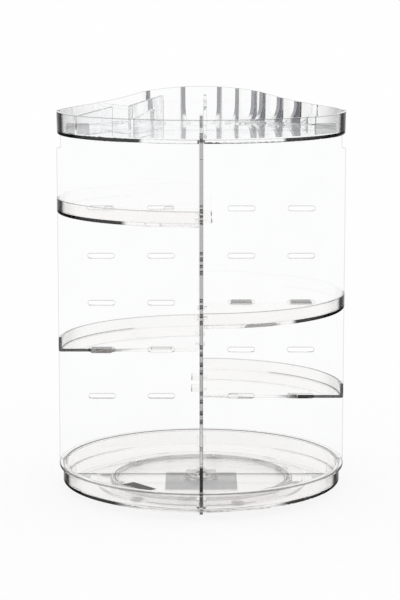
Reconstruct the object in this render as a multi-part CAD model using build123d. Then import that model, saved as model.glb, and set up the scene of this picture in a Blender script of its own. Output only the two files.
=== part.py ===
"""Rotating makeup organizer: a clear carousel on a ball-bearing turntable.

Two cross-lapped panels stand in a lipped bottom tray, carry four hooked quarter
shelves and hold up a divided top tray.  Millimetres, +Z up, origin on the table
under the spin axis, -Y towards the viewer.
"""
import math
import os

from build123d import *

# Whole carousel
rim_radius = 115.0          # widest reach of trays, shelves and panels
panel_height = 277.7        # bottom tray's floor to top tray's underside
panel_thickness = 2.6
wall_thickness = 2.2        # upright walls of the moulded trays and shelves
tray_floor = 2.6            # floor of both round trays
rib_thickness = 1.8         # guide ribs in the bottom tray
divider_thickness = 2.4     # dividers in the top tray
edge_round = 0.6            # moulded edges
floor_round = 1.4           # moulded inside corners

# Clearances
seat_play = 0.25            # panel tabs in the tray slots, panels between guide ribs
lap_play = 0.15             # one panel in the other's slit
shelf_gap = 0.3             # shelf edge to panel face
pivot_play = 0.05           # tray boss in the hub bore
axial_play = 0.1            # hub web between boss end and washer
race_play = 0.05            # ball in its grooves
cage_play = 0.15            # ball in its cage pocket
cage_gap = 0.3              # cage above the base plate
screw_play = 0.1            # screw in the washer

# Turntable base
foot_count = 6
foot_inset = 6.8            # foot centres in from the base's edge
foot_radius = 5.0
foot_height = 1.0
foot_round = 0.4
foot_first_angle = 51.0
base_radius = 84.8
base_thickness = 1.9
base_rim_width = 2.4
base_rim_gap = 0.4          # base rim to tray underside
bearing_gap = 3.2           # base plate to tray underside
race_rib_inset = 7.0        # rib inside the ball circle
race_rib_width = 1.2
race_rib_height = 0.4
hub_radius = 14.0
hub_gap = 0.6               # hub top to tray underside
hub_recess_radius = 9.2
base_label_side = 58.0
base_label_shift = 6.0      # label centre towards the front
label_thickness = 0.2

# Ball bearing
ball_count = 6
ball_radius = 2.5
ball_first_angle = 21.0
race_inset = 13.8           # ball circle in from the base's edge
cage_width = 6.2
cage_thickness = 2.0
pocket_side = 8.4
pocket_height = 2.5

# Pivot
boss_radius = 6.0
washer_radius = 8.5
washer_thickness = 0.8
screw_radius = 1.5
screw_bite = 0.15           # thread bite of the screw in the boss
screw_length = 5.0
screw_head_radius = 3.2
screw_head_height = 1.5
screw_drive_width = 0.8
screw_drive_length = 3.6
screw_drive_depth = 0.7
pilot_slack = 0.3           # pilot hole past the screw's tip
hub_web = 1.9

# Bottom tray
bottom_tray_height = 15.5
lip_reach = 3.0
lip_thickness = 2.3
guide_reach = 8.0           # guide ribs in from the tray wall
guide_height = 7.0
socket_arm = 12.0           # guide ribs out from the centre
socket_height = 3.0
tray_label_length = 28.5
tray_label_width = 10.5
tray_label_circle = 64.5    # label centre out from the axis
tray_label_angle = 220.6

# Panels
tab_inset = 7.5             # tabs in from the panel's upright edge
tab_width = 17.5
bottom_tab_reach = 2.9      # tab below the bottom tray
top_tab_reach = 5.1         # tab above the top tray's floor
wall_play = 0.3             # panel foot to the tray wall
lip_play = 0.4              # panel shoulder over the rim
neck_inset = 3.0            # notch in the top corners
neck_height = 11.5
corner_round = 1.0
slot_length = 21.4
slot_height = 3.7
near_station = 32.2         # slot centres out from the axis
far_inset = 34.8            # outer slot centres in from the panel's edge
slot_rows = 5
top_row_height = 217.6      # first slot row above the bottom tray's floor
row_pitch = 38.17

# Quarter shelves, by name: slot rows above the shelf's own, turn round the axis in degrees
shelf_row_counts = {
    "shelf_rear_right": 4,
    "shelf_rear_left": 3,
    "shelf_front_left": 0,
    "shelf_front_right": 2,
}
shelf_angles = {
    "shelf_rear_right": 0.0,
    "shelf_rear_left": 90.0,
    "shelf_front_left": 180.0,
    "shelf_front_right": 270.0,
}
shelf_floor = 2.4
shelf_height = 12.0
shelf_corner = 5.0
hook_width = 17.6           # long hooks on one straight side
hook_reach = 7.0            # past the panel's far face
tab_hook_width = 8.0        # short tabs on the other side
tab_hook_reach = 1.6
hook_height = 3.4
hook_drop = 0.2             # hook underside above the shelf underside
hook_root = 3.0             # hook rooted in over the shelf floor
hook_round = 0.8
end_play = 0.5              # short tab to the inner end of its slot

# Top tray
top_draft = 0.8             # wall leans out by this over its height
front_rim = 17.8            # rim heights above the tray's underside
side_rim = 18.0
shoulder_rim = 21.6
crest_side_rim = 27.5
crest_rim = 31.7
shoulder_place = 75.0       # their places across the tray
crest_side_place = 50.0

# Top tray dividers: places as shares of the rim radius, heights as shares of the crest
divider_shares = {
    "outer left": ((-0.831, -0.532), 0.457, (-0.600, -0.174), 0.621),
    "front left": ((-0.445, -0.881), 0.467, (-0.319, -0.417), 0.612),
    "middle": ((-0.474, -0.391), 0.690, (-0.270, 0.157), 0.830),
    "rear": ((0.028, 0.383), 0.505, (0.028, 0.976), 0.694),
}
left_cell_shares = ((-0.700, 0.157), (-0.613, -0.148), (-0.474, -0.391))
left_cell_height = 21.4
corner_post_radius = 1.8    # where that wall meets the middle divider

# Top tray fins, counted in degrees from the rear
fin_angles = (-8.0, 8.0, 24.0, 28.0, 37.0, 47.0)
fin_thickness = 3.2
thin_fin_angles = (-24.0, 16.0, 58.0)
thin_fin_thickness = 1.8
fin_reach = 41.0            # fins in from the rim
fin_top_inset = 7.5         # inner edge at the rim line
fin_foot_inset = 9.0        # inner edge where it would meet the low part
fin_tip_height = 1.2
fin_foot_height = 2.0
fin_swoop_round = 14.0      # swoop from the low part up to the inner edge

# Levels
base_z = foot_height
base_top = base_z + base_thickness
tray_z = base_top + bearing_gap
floor_top = tray_z + tray_floor
rim_top = tray_z + bottom_tray_height
top_z = floor_top + panel_height
top_floor = top_z + tray_floor
ball_z = base_top + bearing_gap / 2
hub_top = tray_z - hub_gap
web_z = hub_top - hub_web
boss_end = web_z - axial_play
washer_z = boss_end - washer_thickness
head_z = washer_z - screw_head_height

# Shared places
foot_circle = base_radius - foot_inset
race_radius = base_radius - race_inset
race_rib_radius = race_radius - race_rib_inset
slot_stations = (near_station, rim_radius - far_inset)
tab_end = rim_radius - tab_inset
tab_start = tab_end - tab_width
half_panel = panel_thickness / 2
shelf_edge = half_panel + shelf_gap
tray_wall_radius = rim_radius - lip_reach
tray_inside = tray_wall_radius - wall_thickness
panel_channel = panel_thickness + 2 * seat_play
low_middle = (Align.CENTER, Align.CENTER, Align.MIN)


def spaced(count, first):
    """Angles of count places round the axis, in degrees."""
    return [first + 360 * i / count for i in range(count)]


def turned(outline, rounds):
    """Solid of revolution from a half section with one corner radius per point."""
    section = make_face(FilletPolyline(*outline, radius=rounds, close=True))
    return revolve(Plane.XZ * section, Axis.Z)


def disc(radius, low, high):
    return Pos(0, 0, low) * Cylinder(radius, high - low, align=low_middle)


def ring(inner, outer, low, high):
    return disc(outer, low, high) - disc(inner, low, high)


def clock_point(angle, radius):
    """Point at an angle counted from the rear, +X positive."""
    return (radius * math.sin(math.radians(angle)), radius * math.cos(math.radians(angle)))


def upright(start, end, profile, thickness):
    """Plate standing on the top tray's floor along start to end; the profile lies in (run, height)."""
    run = Vector(end[0] - start[0], end[1] - start[1], 0).normalized()
    plane = Plane((start[0], start[1], top_floor), x_dir=run, z_dir=(run.Y, -run.X, 0))
    return extrude(plane * profile, thickness / 2, both=True)


def make_base_plate():
    body = disc(base_radius, base_z, base_top)
    body += ring(base_radius - base_rim_width, base_radius, base_z, tray_z - base_rim_gap)
    body += ring(race_rib_radius - race_rib_width, race_rib_radius, base_z, base_top + race_rib_height)
    body += disc(hub_radius, base_z, hub_top)
    body -= disc(hub_recess_radius, base_z, web_z)
    body -= disc(boss_radius + pivot_play, web_z, hub_top)
    return body - race()


def race():
    return Pos(0, 0, ball_z) * Torus(race_radius, ball_radius + race_play)


def make_foot(angle):
    pad = turned(
        [(0, 0), (foot_radius, 0), (foot_radius, foot_height), (0, foot_height)],
        [0, foot_round, 0, 0],
    )
    return Rot(0, 0, angle) * Pos(foot_circle, 0, 0) * pad


def make_base_label():
    return Pos(0, -base_label_shift, base_z - label_thickness) * Box(
        base_label_side, base_label_side, label_thickness, align=low_middle
    )


def make_cage():
    cage_z = base_top + cage_gap
    half = cage_width / 2
    body = ring(race_radius - half, race_radius + half, cage_z, cage_z + cage_thickness)
    pocket = Pos(race_radius, 0, cage_z) * Box(pocket_side, pocket_side, pocket_height, align=low_middle)
    bore = Pos(race_radius, 0, cage_z) * Cylinder(ball_radius + cage_play, pocket_height, align=low_middle)
    for angle in spaced(ball_count, ball_first_angle):
        body += Rot(0, 0, angle) * pocket
    for angle in spaced(ball_count, ball_first_angle):
        body -= Rot(0, 0, angle) * bore
    return body


def make_ball(angle):
    return Rot(0, 0, angle) * Pos(race_radius, 0, ball_z) * Sphere(ball_radius)


def make_washer():
    return ring(screw_radius + screw_play, washer_radius, washer_z, boss_end)


def make_screw():
    shank = disc(screw_radius, washer_z, washer_z + screw_length)
    head = disc(screw_head_radius, head_z, washer_z)
    head -= Pos(0, 0, head_z) * Box(screw_drive_length, screw_drive_width, screw_drive_depth, align=low_middle)
    head -= Pos(0, 0, head_z) * Box(screw_drive_width, screw_drive_length, screw_drive_depth, align=low_middle)
    return head + shank


def tab_slot(low, high):
    """Cut for one panel tab on +X, through a floor."""
    return Pos(tab_start + tab_width / 2, 0, low) * Box(
        tab_width + 2 * seat_play, panel_channel, high - low, align=low_middle
    )


def make_bottom_tray():
    body = turned(
        [
            (0, tray_z),
            (tray_wall_radius, tray_z),
            (tray_wall_radius, rim_top - lip_thickness),
            (rim_radius, rim_top - lip_thickness),
            (rim_radius, rim_top),
            (tray_inside, rim_top),
            (tray_inside, floor_top),
            (0, floor_top),
        ],
        [0, floor_round, edge_round, edge_round, edge_round, edge_round, floor_round, 0],
    )
    body += disc(boss_radius, boss_end, tray_z)
    body -= disc(screw_radius - screw_bite, boss_end, washer_z + screw_length + pilot_slack)
    body -= race()
    guide_middle = panel_channel / 2 + rib_thickness / 2
    guide_length = guide_reach + wall_thickness / 2
    socket_start = panel_channel / 2
    for turn in spaced(4, 0):
        for side in (1, -1):
            guide = Pos(tray_inside - guide_reach + guide_length / 2, side * guide_middle, floor_top) * Box(
                guide_length, rib_thickness, guide_height, align=low_middle
            )
            socket = Pos((socket_start + socket_arm) / 2, side * guide_middle, floor_top) * Box(
                socket_arm - socket_start, rib_thickness, socket_height, align=low_middle
            )
            body += Rot(0, 0, turn) * (guide + socket)
        body -= Rot(0, 0, turn) * tab_slot(tray_z, floor_top)
    return body


def make_tray_label():
    flat = Box(tray_label_width, tray_label_length, label_thickness, align=low_middle)
    return Rot(0, 0, tray_label_angle) * Pos(tray_label_circle, 0, floor_top) * flat


def panel_face():
    """Panel outline with its slots, lying in XY with Y as height."""
    foot_half = tray_inside - wall_play
    shoulder = rim_top + lip_play
    neck_half = rim_radius - neck_inset
    neck_z = top_z - neck_height
    tab_low = tray_z - bottom_tab_reach
    tab_high = top_floor + top_tab_reach
    side = [
        (tab_start, floor_top, 0),
        (tab_start, tab_low, corner_round),
        (tab_end, tab_low, corner_round),
        (tab_end, floor_top, 0),
        (foot_half, floor_top, floor_round),
        (foot_half, shoulder, 0),
        (rim_radius, shoulder, corner_round),
        (rim_radius, neck_z, corner_round),
        (neck_half, neck_z, 0),
        (neck_half, top_z, 0),
        (tab_end, top_z, 0),
        (tab_end, tab_high, corner_round),
        (tab_start, tab_high, corner_round),
        (tab_start, top_z, 0),
    ]
    points = side + [(-x, z, r) for x, z, r in reversed(side)]
    outline = FilletPolyline(*[(x, z) for x, z, r in points], radius=[r for x, z, r in points], close=True)
    face = make_face(outline)
    for row in range(slot_rows):
        for station in slot_stations:
            for place in (station, -station):
                face -= Pos(place, row_z(row)) * SlotOverall(slot_length, slot_height)
    return face


def row_z(row):
    return floor_top + top_row_height - row * row_pitch


def lap_slit(low, high):
    width = panel_thickness + 2 * lap_play
    return Pos(0, low) * Rectangle(width, high - low, align=(Align.CENTER, Align.MIN))


def make_panel(slit):
    return extrude(Plane.XZ * (panel_face() - slit), panel_thickness / 2, both=True)


def make_panel_wide():
    middle = (floor_top + top_z) / 2
    return make_panel(lap_slit(middle - lap_play, top_z))


def make_panel_deep():
    middle = (floor_top + top_z) / 2
    return Rot(0, 0, 90) * make_panel(lap_slit(floor_top, middle + lap_play))


def hook(place, width, reach, level):
    """Pill-ended hook towards -Y through the panel in y = 0, centred on x = place."""
    plane = Plane((place, shelf_edge + hook_root, level), x_dir=(1, 0, 0), z_dir=(0, -1, 0))
    pill = extrude(plane * SlotOverall(width, hook_height), hook_root + shelf_edge + half_panel + reach)
    return fillet(pill.faces().sort_by(Axis.Y)[0].edges(), hook_round)


def make_shelf(row, angle):
    """Quarter shelf: floor, curved outer wall, short tabs on one side and long hooks on the other."""
    level = row_z(row)
    low = level - hook_height / 2 - hook_drop
    inside = rim_radius - wall_thickness
    body = turned(
        [
            (0, low),
            (rim_radius, low),
            (rim_radius, low + shelf_height),
            (inside, low + shelf_height),
            (inside, low + shelf_floor),
            (0, low + shelf_floor),
        ],
        [0, floor_round, edge_round, edge_round, floor_round, 0],
    )
    corner = Pos(shelf_edge, shelf_edge, low) * Box(
        rim_radius, rim_radius, shelf_height, align=(Align.MIN, Align.MIN, Align.MIN)
    )
    inner_edge = corner.edges().filter_by(Axis.Z).sort_by_distance((0, 0, level))[0]
    body &= fillet(inner_edge, shelf_corner)
    for station in slot_stations:
        tab_place = station - (slot_length - tab_hook_width) / 2 + end_play
        body += hook(tab_place, tab_hook_width, tab_hook_reach, level)
        long_hook = hook(station, hook_width, hook_reach, level)
        body += mirror(long_hook, Plane((0, 0, 0), z_dir=(1, -1, 0)))
    return Rot(0, 0, angle) * body


def fin_profile():
    """Low radial fin that swoops up beside the outer wall; run is counted from the fin's tip."""
    reach = fin_reach - wall_thickness / 2
    top = crest_rim - tray_floor
    outline = [
        (0, 0),
        (reach, 0),
        (reach, top),
        (fin_reach - fin_top_inset, top),
        (fin_reach - fin_foot_inset, fin_foot_height),
        (0, fin_tip_height),
    ]
    return make_face(FilletPolyline(*outline, radius=[0, 0, 0, 0, fin_swoop_round, 0], close=True))


def on_floor(shares):
    """Place on a tray floor from shares of the rim radius."""
    return (shares[0] * rim_radius, shares[1] * rim_radius)


def curved_wall(points, height):
    """Curved divider through three places on the top tray's floor."""
    band = trace(ThreePointArc(*points), divider_thickness)
    return extrude(Pos(0, 0, top_floor) * band, height)


def rim_cut():
    """Everything above the top tray's rim line: level at the front, rising to a crest behind."""
    crest = ThreePointArc(
        (-crest_side_place, crest_side_rim), (0, crest_rim), (crest_side_place, crest_side_rim)
    )
    above = 2 * crest_rim
    sides = []
    for side in (1, -1):
        sides += [
            ThreePointArc(
                (side * crest_side_place, crest_side_rim),
                (side * shoulder_place, shoulder_rim),
                (side * rim_radius, side_rim),
            ),
            Line((side * rim_radius, side_rim), (side * rim_radius, above)),
        ]
    lid = Line((-rim_radius, above), (rim_radius, above))
    rear = extrude(Plane.XZ * make_face([crest, lid] + sides), -2 * rim_radius)
    front = Pos(0, 0, front_rim) * Box(
        2 * rim_radius, 2 * rim_radius, above, align=(Align.CENTER, Align.MAX, Align.MIN)
    )
    return Pos(0, 0, top_z) * (rear + front)


def make_top_tray():
    crest_z = top_z + crest_rim
    foot_radius_out = rim_radius - top_draft
    body = turned(
        [
            (0, top_z),
            (foot_radius_out, top_z),
            (rim_radius, crest_z),
            (rim_radius - wall_thickness, crest_z),
            (foot_radius_out - wall_thickness, top_floor),
            (0, top_floor),
        ],
        [0, floor_round, 0, 0, floor_round, 0],
    )
    for angles, thickness in ((fin_angles, fin_thickness), (thin_fin_angles, thin_fin_thickness)):
        for angle in angles:
            tip = clock_point(angle, rim_radius - fin_reach)
            body += upright(tip, clock_point(angle, rim_radius), fin_profile(), thickness)
    body -= rim_cut()
    for start_shares, start_rise, end_shares, end_rise in divider_shares.values():
        start = on_floor(start_shares)
        end = on_floor(end_shares)
        run = math.dist(start, end)
        profile = make_face(
            Polyline((0, 0), (run, 0), (run, end_rise * crest_rim), (0, start_rise * crest_rim), close=True)
        )
        body += upright(start, end, profile, divider_thickness)
    cell_points = [on_floor(shares) for shares in left_cell_shares]
    body += curved_wall(cell_points, left_cell_height)
    body += Pos(*cell_points[-1]) * disc(corner_post_radius, top_floor, top_floor + left_cell_height)
    for turn in spaced(4, 0):
        body -= Rot(0, 0, turn) * tab_slot(top_z, top_floor)
    return body


nodes = {
    "base_plate": make_base_plate(),
    "base_label": make_base_label(),
    "ball_cage": make_cage(),
    "pivot_washer": make_washer(),
    "pivot_screw": make_screw(),
    "bottom_tray": make_bottom_tray(),
    "tray_label": make_tray_label(),
    "panel_wide": make_panel_wide(),
    "panel_deep": make_panel_deep(),
    "top_tray": make_top_tray(),
}
for index, angle in enumerate(spaced(foot_count, foot_first_angle), 1):
    nodes[f"base_foot_{index}"] = make_foot(angle)
for index, angle in enumerate(spaced(ball_count, ball_first_angle), 1):
    nodes[f"bearing_ball_{index}"] = make_ball(angle)
for name, row in shelf_row_counts.items():
    nodes[name] = make_shelf(row, shelf_angles[name])

os.makedirs("parts", exist_ok=True)
for name, solid in nodes.items():
    export_step(solid, f"parts/{name}.step")
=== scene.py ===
import math

import bpy
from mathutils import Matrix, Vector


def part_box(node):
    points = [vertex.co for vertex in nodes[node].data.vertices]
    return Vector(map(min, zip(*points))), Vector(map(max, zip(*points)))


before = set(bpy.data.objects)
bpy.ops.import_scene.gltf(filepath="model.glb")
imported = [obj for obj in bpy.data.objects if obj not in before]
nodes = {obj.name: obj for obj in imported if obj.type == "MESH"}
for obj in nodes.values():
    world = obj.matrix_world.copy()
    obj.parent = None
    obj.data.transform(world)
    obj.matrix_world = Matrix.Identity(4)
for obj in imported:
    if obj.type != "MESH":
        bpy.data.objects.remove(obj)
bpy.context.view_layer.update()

scene = bpy.context.scene
scene.view_settings.view_transform = "Standard"

# Light bounces, enough for paths that cross many clear walls
CLEAR_BOUNCES = 48
GLOSSY_BOUNCES = 32
scene.cycles.max_bounces = CLEAR_BOUNCES
scene.cycles.transmission_bounces = CLEAR_BOUNCES
scene.cycles.glossy_bounces = GLOSSY_BOUNCES

# Camera fitted to the photograph
CAMERA_PLACE = (-0.00098, -1.565, 0.399)
CAMERA_PITCH = 8.962
CAMERA_LENS = 118.19
CAMERA_SENSOR = 36.0

# Heights in metres of the slab rims
TOP_SLAB = (0.2862, 0.2894)
BOTTOM_SLAB = (0.0059, 0.0091)
SHELF_SLAB = 0.0030
SHELF_SLAB_MARGIN = 0.0003

# Painted shade: how far from the middle the slab rims are painted black, standing in for the dark edge of
# clear plastic: left, then right
TOP_SLAB_SIDES = ((0.0425, 0.047), (0.060, 0.064))
BOTTOM_SLAB_SIDES = ((0.050, 0.068), (0.054, 0.068))
SLAB_RADIUS = 0.1072
SLAB_SHADE = 0.95

# Slab rims are faces whose normal has less than this upward share
RIM_LEVEL = 0.8

# Painted shade on the outer walls: least radius, and the Layer Weight facing over which their ends are
# painted grey, then black
WALL_RADIUS = 0.1112
WALL_GREY_FACING = (0.45, 0.70)
WALL_GREY = 0.35
WALL_BLACK_FACING = (0.66, 0.76)
WALL_BLACK = 0.85
WALL_BLACK_REAR = 0.004

# Share of the normal that points up, over which faces stop counting as upright
UPRIGHT_LEVEL = (0.2, 0.75)

# Painted shade on the upright ends of the top tray's fins: inner and outer radius, foremost and rightmost
# place, lowest height
FIN_INNER = (0.0995, 0.104)
FIN_OUTER = 0.1117
FIN_FRONT = 0.02
FIN_RIGHT = 0.088
FIN_FOOT = 0.2895

# Painted shade lines on the rims of the trays: least height, radius of the lip's outer and inner edge, and
# shade
TOP_RIM_HEIGHT = 0.3034
TOP_RIM_SHADE = 0.3
FRONT_RIM_HEIGHT = 0.0205
FRONT_RIM_SHADE = 0.8
REAR_RIM_HEIGHT = 0.0209
REAR_RIM_SHADE = 0.9
LIP_OUTER = 0.1141
LIP_INNER = 0.1108

# Sheets: half width left clear at the lap, heights between which the slots lie, and the tabs at both ends;
# slot tops and tabs get painted shade
LAP_HALF = 0.006
SLOT_HEIGHTS = (0.02, 0.26)
SLOT_DROOP = (0.08, 0.3)
SLOT_SHADE = 0.45
TOP_TAB_HEIGHT = 0.2892
FOOT_TAB_HEIGHT = 0.0092
FOOT_TAB_REACH = (0.085, 0.1075)
WIDE_TAB_SHADE = 0.5
DEEP_TAB_SHADE = 0.15

# Painted shade on the sawn edges of the sheets: share of the normal across the sheet, and heights over which
# the painted shade grows
SAWN_SIDE = (0.3, 0.7)
SAWN_HEIGHTS = (0.03, 0.06)
SAWN_SHADES = (0.2, 0.75)

# Shelves: straight edges along the wide sheet, the radius over which they are painted dark, and the rim of
# the wall; painted shade on edges, rim and hooks
EDGE_HALF = 0.0045
EDGE_SIDE = 0.8
EDGE_DARK = (0.055, 0.080)
SHELF_RIM = 0.0114
SHELF_RIM_SHADE = 0.5
HOOK_SHADE = 0.95

# Each shelf: where its slab's rim is painted dark, then axis, side, start and least radius of its hooks'
# painted dark ends; all painted shade
SHELVES = {
    "front_left": ((0.054, 0.061), "x", 1.0, 0.0075, 0.0),
    "front_right": ((0.067, 0.073), "y", 1.0, 0.0003, 0.0),
    "rear_left": ((0.054, 0.061), "y", -1.0, 0.0003, 0.055),
    "rear_right": ((0.054, 0.061), "x", -1.0, 0.0075, 0.0),
}

# Painted shade: dark lines along edges, radius and strength for each kind of piece
EDGE_SHADE_LINE = {
    "sheet": (0.0012, 0.35),
    "top_tray": (0.001, 0.5),
    "bottom_tray": (0.001, 0.25),
    "shelf": (0.001, 0.3),
    "base": (0.0006, 0.2),
}
LINE_SAMPLES = 6
LINE_TURN = (0.01, 0.10)

# Pads round the ball cage: how many, the angle of the first in degrees, and how their ends fade
PAD_COUNT = 6.0
PAD_ANGLE = 21.0
PAD_FADE = (0.80, 0.88)

# Clear plastic: clouds in the tint, haze in the gloss and ripples in the surface
PLASTIC_IOR = 1.49
CLOUD_SCALE = 30.0
CLOUD_RANGE = (0.35, 0.65)
CLOUD_TINT = 0.99
HAZE_SCALE = 220.0
HAZE_RANGE = (0.45, 0.75)
HAZE_ROUGHNESS = (0.0, 0.03)
RIPPLE_SCALE = 55.0
RIPPLE_DETAIL = 1.0
RIPPLE_BUMP = (0.015, 0.002)

# Opaque pieces and the cage: fine grain, and dulling or frost in the gloss
GRAIN_SCALE = 900.0
GRAIN_TINT = 0.9
GRAIN_BUMP = (0.1, 0.0003)
FROST_SCALE = 300.0
FROST_ROUGHNESS = (0.4, 0.5)
MIDDLE_RANGE = (0.3, 0.7)
DULLING = 0.1
CAGE_CLEARNESS = 0.8

# Floor
FLOOR_SIZE = 400
FLOOR_DROP = 0.0002
FLOOR_GLOW = 0.85
FLOOR_COLOR = (0.95, 0.95, 0.95, 1)

WHITE = (1, 1, 1, 1)
# Black of all painted shade
DARK = (0.002, 0.002, 0.0025, 1)
COOL = (0.985, 0.987, 0.99, 1)
WARM = (0.978, 0.968, 0.960, 1)
PALE = (0.99, 0.985, 0.98, 1)
# Grey of the painted shade on the sheets' sawn edges
EDGE_SHADE_GREY = (0.30, 0.29, 0.29, 1)
# Colour of the painted shade on the shelves' hooks
HOOK = (0.065, 0.055, 0.05, 1)
# Colour of the painted shade on the top tray's fins
FIN = (0.13, 0.13, 0.145, 1)
FROST_PALE = (0.985, 0.975, 0.965, 1)
FROST_DULL = (0.96, 0.95, 0.94, 1)
PAD_GREY = (0.55, 0.53, 0.52, 1)
STEEL = (0.6, 0.6, 0.6)
DARK_STICKER = (0.21, 0.202, 0.195)
GREY_STICKER = (0.93, 0.92, 0.91)


class Graph:
    """Short names for building one node tree."""

    def __init__(self, tree):
        self.nodes = tree.nodes
        self.links = tree.links

    def node(self, kind, **values):
        made = self.nodes.new(kind)
        for name, value in values.items():
            setattr(made, name, value)
        return made

    def put(self, socket, value):
        if isinstance(value, bpy.types.NodeSocket):
            self.links.new(value, socket)
        else:
            socket.default_value = value

    def math(self, operation, a, b=0.0):
        made = self.node("ShaderNodeMath", operation=operation)
        self.put(made.inputs[0], a)
        self.put(made.inputs[1], b)
        return made.outputs[0]

    def product(self, *values):
        total = values[0]
        for value in values[1:]:
            total = self.math("MULTIPLY", total, value)
        return total

    def most(self, *values):
        total = values[0]
        for value in values[1:]:
            total = self.math("MAXIMUM", total, value)
        return total

    def above(self, value, limit):
        return self.math("GREATER_THAN", value, limit)

    def below(self, value, limit):
        return self.math("LESS_THAN", value, limit)

    def within(self, value, low, high):
        return self.product(self.above(value, low), self.below(value, high))

    def size(self, value):
        return self.math("ABSOLUTE", value)

    def dot(self, a, b):
        made = self.node("ShaderNodeVectorMath", operation="DOT_PRODUCT")
        self.put(made.inputs[0], a)
        self.put(made.inputs[1], b)
        return made.outputs["Value"]

    def ramp(self, value, low, high, start=0.0, end=1.0):
        made = self.node("ShaderNodeMapRange", interpolation_type="SMOOTHSTEP")
        self.put(made.inputs["Value"], value)
        made.inputs["From Min"].default_value = low
        made.inputs["From Max"].default_value = high
        made.inputs["To Min"].default_value = start
        made.inputs["To Max"].default_value = end
        return made.outputs["Result"]

    def mix(self, factor, a, b):
        made = self.node("ShaderNodeMix", data_type="RGBA")
        self.put(made.inputs[0], factor)
        self.put(made.inputs[6], a)
        self.put(made.inputs[7], b)
        return made.outputs[2]

    def place(self):
        made = self.node("ShaderNodeTexCoord")
        return made.outputs["Object"]

    def split(self, vector):
        made = self.node("ShaderNodeSeparateXYZ")
        self.put(made.inputs[0], vector)
        return made.outputs

    def noise(self, vector, scale, detail=3.0):
        made = self.node("ShaderNodeTexNoise")
        self.put(made.inputs["Vector"], vector)
        made.inputs["Scale"].default_value = scale
        made.inputs["Detail"].default_value = detail
        made.inputs["Roughness"].default_value = 0.5
        return made.outputs["Fac"]

    def bump(self, height, strength, distance):
        made = self.node("ShaderNodeBump")
        made.inputs["Strength"].default_value = strength
        made.inputs["Distance"].default_value = distance
        self.put(made.inputs["Height"], height)
        return made.outputs["Normal"]


def material(name):
    mat = bpy.data.materials.new(name)
    mat.use_nodes = True
    g = Graph(mat.node_tree)
    return mat, g, g.nodes["Principled BSDF"].inputs


class Plastic:
    """Clear plastic whose dark parts are painted shade, gathered from masks."""

    def __init__(self, name, tint, kind):
        line_radius, line_shade = EDGE_SHADE_LINE[kind]
        self.mat, self.g, self.shader = material(name)
        self.tint = tint
        g = self.g
        self.place = g.place()
        self.x, self.y, self.z = g.split(self.place)[:3]
        geometry = g.node("ShaderNodeNewGeometry")
        self.outside = g.math("SUBTRACT", 1.0, geometry.outputs["Backfacing"])
        self.nx, self.ny, self.nz = g.split(g.node("ShaderNodeTexCoord").outputs["Normal"])[:3]
        self.radius = g.math("SQRT", g.math("ADD", g.product(self.x, self.x), g.product(self.y, self.y)))
        self.level = g.size(self.nz)
        self.upright = g.ramp(self.level, *UPRIGHT_LEVEL, 1.0, 0.0)
        weight = g.node("ShaderNodeLayerWeight")
        weight.inputs["Blend"].default_value = 0.5
        self.facing = weight.outputs["Facing"]
        # Painted shade: dark lines where the bevelled normal turns from the true one, along every edge
        rounded = g.node("ShaderNodeBevel", samples=LINE_SAMPLES)
        rounded.inputs["Radius"].default_value = line_radius
        self.rounded = rounded.outputs[0]
        turn = g.math("SUBTRACT", 1.0, g.dot(self.rounded, geometry.outputs["Normal"]))
        self.layers = [(g.ramp(turn, *LINE_TURN, 0.0, line_shade), DARK)]
        self.painted_black = []

    # Painted shade: mixes the colour towards a dark colour inside the mask
    def paint(self, mask, strength, color=DARK):
        self.layers.append((self.g.product(mask, strength), color))

    # Painted shade: black colour, metallic and a black specular tint inside the mask, on outer faces
    def blacken(self, mask, strength):
        self.painted_black.append(self.g.product(mask, self.outside, strength))

    def slab(self, heights, left, right):
        """The slab's rim is painted black on both sides, past these distances from the middle: painted
        shade.
        """
        g = self.g
        sides = g.most(g.ramp(g.math("MULTIPLY", self.x, -1.0), *left), g.ramp(self.x, *right))
        rim = g.product(
            g.within(self.z, *heights),
            g.below(self.level, RIM_LEVEL),
            g.above(self.radius, SLAB_RADIUS),
        )
        self.blacken(g.product(rim, sides), SLAB_SHADE)

    def wall_ends(self):
        """Painted shade: the outer wall is painted grey, then black, towards its silhouette by Layer Weight
        facing, standing in for the dark edge of glass.
        """
        g = self.g
        outer = g.product(g.above(self.radius, WALL_RADIUS), self.upright, self.outside)
        self.paint(g.product(outer, g.ramp(self.facing, *WALL_GREY_FACING)), WALL_GREY)
        end = g.product(outer, g.ramp(self.facing, *WALL_BLACK_FACING), g.below(self.y, WALL_BLACK_REAR))
        self.blacken(end, WALL_BLACK)

    def done(self):
        g = self.g
        cloud = g.ramp(g.noise(self.place, CLOUD_SCALE), *CLOUD_RANGE)
        color = g.mix(cloud, self.tint, (*[c * CLOUD_TINT for c in self.tint[:3]], 1))
        # Painted shade: the masks darken the colour; the black ones also make it metallic with a black
        # reflection
        for mask, dark in self.layers:
            color = g.mix(mask, color, dark)
        if self.painted_black:
            black = g.most(*self.painted_black)
            color = g.mix(black, color, DARK)
            g.put(self.shader["Metallic"], black)
            g.put(self.shader["Specular Tint"], g.mix(black, WHITE, DARK))
        g.put(self.shader["Base Color"], color)
        haze = g.noise(self.place, HAZE_SCALE)
        g.put(self.shader["Roughness"], g.ramp(haze, *HAZE_RANGE, *HAZE_ROUGHNESS))
        ripple = g.noise(self.place, RIPPLE_SCALE, RIPPLE_DETAIL)
        g.put(self.shader["Normal"], g.bump(ripple, *RIPPLE_BUMP))
        self.shader["IOR"].default_value = PLASTIC_IOR
        self.shader["Transmission Weight"].default_value = 1.0
        return self.mat


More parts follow.
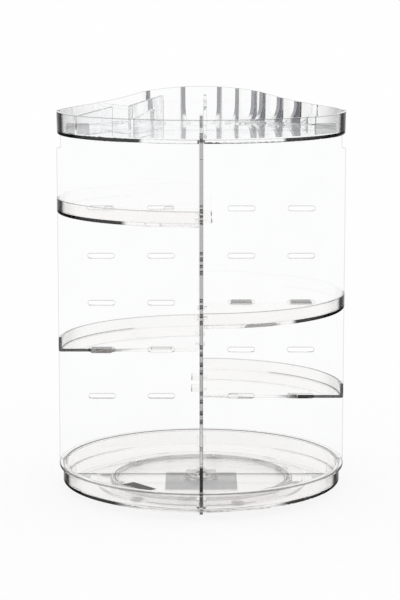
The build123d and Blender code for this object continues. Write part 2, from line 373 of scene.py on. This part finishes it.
def sheet(name, across, tab_shade):
    """Clear sheet with painted shade on its sawn edges, slot tops and tabs; across is the axis of its
    thickness.
    """
    made = Plastic(name, COOL, "sheet")
    g = made.g
    along = g.size({"x": made.y, "y": made.x}[across])
    side = g.size({"x": made.nx, "y": made.ny}[across])
    past_lap = g.above(along, LAP_HALF)
    sawn = g.product(g.ramp(side, *SAWN_SIDE, 1.0, 0.0), past_lap)
    # Painted shade on the sawn edges, weaker near the foot
    made.paint(g.product(sawn, made.upright), g.ramp(made.z, *SAWN_HEIGHTS, *SAWN_SHADES), EDGE_SHADE_GREY)
    # Painted shade along the tops of the slots
    droop = g.math("MULTIPLY", g.split(made.rounded)[2], -1.0)
    slot_top = g.product(g.ramp(droop, *SLOT_DROOP), g.within(made.z, *SLOT_HEIGHTS), past_lap)
    made.paint(slot_top, SLOT_SHADE)
    # Painted shade on the tabs at top and foot
    made.paint(g.above(made.z, TOP_TAB_HEIGHT), tab_shade)
    foot_tab = g.product(g.below(made.z, FOOT_TAB_HEIGHT), g.within(along, *FOOT_TAB_REACH))
    made.paint(foot_tab, tab_shade)
    return made.done()


def top_tray():
    made = Plastic("clear_top_tray", COOL, "top_tray")
    g = made.g
    made.slab(TOP_SLAB, *TOP_SLAB_SIDES)
    made.wall_ends()
    # Painted shade on the fins' upright ends
    fin = g.product(
        g.ramp(made.radius, *FIN_INNER),
        g.below(made.radius, FIN_OUTER),
        g.above(made.y, FIN_FRONT),
        g.below(made.x, FIN_RIGHT),
        g.above(made.z, FIN_FOOT),
    )
    made.paint(fin, 1.0, FIN)
    # Painted shade line along the front rim
    front_rim = g.product(
        g.above(made.z, TOP_RIM_HEIGHT),
        g.below(made.y, 0.0),
        g.above(made.radius, WALL_RADIUS),
    )
    made.paint(front_rim, TOP_RIM_SHADE)
    return made.done()


def bottom_tray():
    made = Plastic("clear_bottom_tray", WARM, "bottom_tray")
    g = made.g
    made.slab(BOTTOM_SLAB, *BOTTOM_SLAB_SIDES)
    made.wall_ends()
    # Painted shade line along the front lip's outer edge
    front_rim = g.product(
        g.above(made.z, FRONT_RIM_HEIGHT),
        g.above(made.radius, LIP_OUTER),
        g.below(made.y, 0.0),
    )
    made.paint(front_rim, FRONT_RIM_SHADE)
    # Painted shade line along the rear rim's inner edge
    rear_rim = g.product(
        g.above(made.z, REAR_RIM_HEIGHT),
        g.below(made.radius, LIP_INNER),
        g.above(made.y, 0.0),
    )
    made.paint(rear_rim, REAR_RIM_SHADE)
    return made.done()


def shelf(quarter):
    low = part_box(f"shelf_{quarter}")[0][2]
    rim, hook_axis, hook_side, hook_start, hook_radius = SHELVES[quarter]
    made = Plastic(f"clear_shelf_{quarter}", WARM, "shelf")
    g = made.g
    made.slab((low - SHELF_SLAB_MARGIN, low + SHELF_SLAB), rim, rim)
    made.wall_ends()
    # Painted shade: black on the straight edges along the wide sheet
    edge = g.product(g.below(g.size(made.y), EDGE_HALF), g.above(g.size(made.ny), EDGE_SIDE))
    made.blacken(g.product(edge, g.ramp(made.radius, *EDGE_DARK)), SLAB_SHADE)
    # Painted shade on the hooks' ends
    reach = g.math("MULTIPLY", {"x": made.x, "y": made.y}[hook_axis], hook_side)
    hook = g.product(g.above(reach, hook_start), g.above(made.radius, hook_radius))
    made.paint(hook, HOOK_SHADE, HOOK)
    # Painted shade line along the shelf's rim
    made.paint(g.above(made.z, low + SHELF_RIM), SHELF_RIM_SHADE)
    return made.done()


def plain(name, color, rough, metal=0.0):
    """Opaque piece with a fine grain."""
    mat, g, shader = material(name)
    place = g.place()
    grain = g.noise(place, GRAIN_SCALE)
    darker = (*[c * GRAIN_TINT for c in color], 1)
    g.put(shader["Base Color"], g.mix(g.ramp(grain, *MIDDLE_RANGE), (*color, 1), darker))
    frost = g.noise(place, FROST_SCALE)
    g.put(shader["Roughness"], g.ramp(frost, *MIDDLE_RANGE, rough, rough + DULLING))
    g.put(shader["Normal"], g.bump(grain, *GRAIN_BUMP))
    shader["Metallic"].default_value = metal
    return mat


def cage():
    """Frosted ring with a greyer pad round each ball."""
    mat, g, shader = material("frosted_cage")
    place = g.place()
    x, y = g.split(place)[:2]
    around = g.math("MULTIPLY", g.math("ARCTAN2", y, x), PAD_COUNT)
    turn = g.math("SUBTRACT", around, PAD_COUNT * math.radians(PAD_ANGLE))
    pad = g.ramp(g.math("COSINE", turn), *PAD_FADE)
    frost = g.ramp(g.noise(place, FROST_SCALE), *MIDDLE_RANGE)
    ring = g.mix(frost, FROST_PALE, FROST_DULL)
    g.put(shader["Base Color"], g.mix(pad, ring, PAD_GREY))
    g.put(shader["Roughness"], g.ramp(frost, 0.0, 1.0, *FROST_ROUGHNESS))
    shader["Transmission Weight"].default_value = CAGE_CLEARNESS
    return mat


finish = {
    "panel_wide": sheet("clear_sheet_wide", "y", WIDE_TAB_SHADE),
    "panel_deep": sheet("clear_sheet_deep", "x", DEEP_TAB_SHADE),
    "top_tray": top_tray(),
    "bottom_tray": bottom_tray(),
    "base": Plastic("clear_base", PALE, "base").done(),
    "bearing_ball": plain("ball_steel", STEEL, 0.15, 1.0),
    "pivot": plain("plated_steel", STEEL, 0.25, 1.0),
    "ball_cage": cage(),
    "tray_label": plain("dark_sticker", DARK_STICKER, 0.6),
    "base_label": plain("grey_sticker", GREY_STICKER, 0.6),
}
for quarter in SHELVES:
    finish[f"shelf_{quarter}"] = shelf(quarter)

for name, obj in nodes.items():
    best = max((k for k in finish if name.startswith(k)), key=len)
    obj.data.materials.clear()
    obj.data.materials.append(finish[best])

cam_data = bpy.data.cameras.new("camera")
cam_data.lens = CAMERA_LENS
cam_data.sensor_width = CAMERA_SENSOR
cam = bpy.data.objects.new("camera", cam_data)
cam.location = CAMERA_PLACE
cam.rotation_euler = (math.radians(90 - CAMERA_PITCH), 0, 0)
scene.collection.objects.link(cam)
scene.camera = cam

# Floor: white to the eye and to what is seen through the plastic, with a soft shadow left in
bpy.ops.mesh.primitive_plane_add(size=FLOOR_SIZE, location=(0, 0, -FLOOR_DROP))
floor = bpy.context.object
floor.name = "floor"
mat, g = material("floor")[:2]
g.nodes.clear()
out = g.node("ShaderNodeOutputMaterial")
diffuse = g.node("ShaderNodeBsdfDiffuse")
diffuse.inputs["Color"].default_value = FLOOR_COLOR
glow = g.node("ShaderNodeEmission")
rays = g.node("ShaderNodeLightPath")
seen = g.most(*[rays.outputs[f"Is {kind} Ray"] for kind in ("Camera", "Glossy", "Transmission")])
blend = g.node("ShaderNodeMixShader")
g.put(blend.inputs[0], g.math("MULTIPLY", seen, FLOOR_GLOW))
g.put(blend.inputs[1], diffuse.outputs[0])
g.put(blend.inputs[2], glow.outputs[0])
g.put(out.inputs["Surface"], blend.outputs[0])
floor.data.materials.append(mat)

# Plain white world
world = bpy.data.worlds.new("studio")
scene.world = world
world.use_nodes = True
w = Graph(world.node_tree)
w.nodes.clear()
out = w.node("ShaderNodeOutputWorld")
bg = w.node("ShaderNodeBackground")
bg.inputs["Color"].default_value = WHITE
bg.inputs["Strength"].default_value = 1.0
w.put(out.inputs["Surface"], bg.outputs[0])
